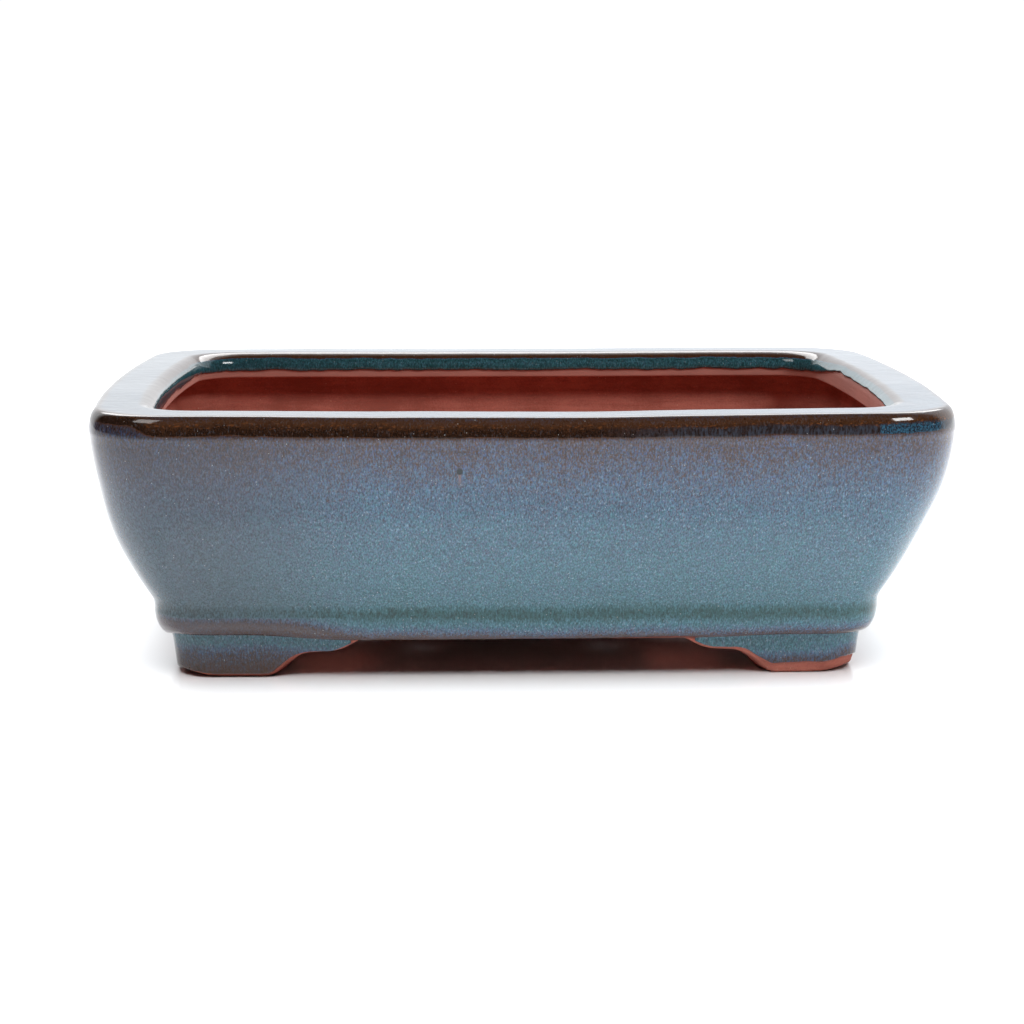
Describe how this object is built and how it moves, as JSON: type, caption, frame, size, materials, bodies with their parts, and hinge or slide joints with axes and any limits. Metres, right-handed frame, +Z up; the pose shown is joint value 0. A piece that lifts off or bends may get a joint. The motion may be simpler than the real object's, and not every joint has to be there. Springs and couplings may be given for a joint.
{
  "type": "bonsai pot",
  "caption": "Shallow rectangular bonsai pot with a glazed, bowed outside, a wide lip, a belted base on bracket feet, and a bare clay inside with drainage holes.",
  "frame": {"origin": "centre of the base, on the surface that the feet stand on", "axes": "+X along the pot's length, +Y from its front to its rear, +Z up"},
  "size_m": [0.21, 0.155, 0.066],
  "materials": {
    "glaze": "glossy blue-teal glaze that breaks brown on the rim",
    "bare_clay": "matt unglazed red clay"
  },
  "bodies": {
    "root": {"floor_slab": "bare_clay", "front_wall": "glaze", "rear_wall": "glaze", "left_wall": "glaze", "right_wall": "glaze", "front_lip": "glaze", "rear_lip": "glaze", "left_lip": "glaze", "right_lip": "glaze", "foot_front_left": "glaze", "foot_front_right": "glaze", "foot_rear_left": "glaze", "foot_rear_right": "glaze"}
  },
  "joints": []
}
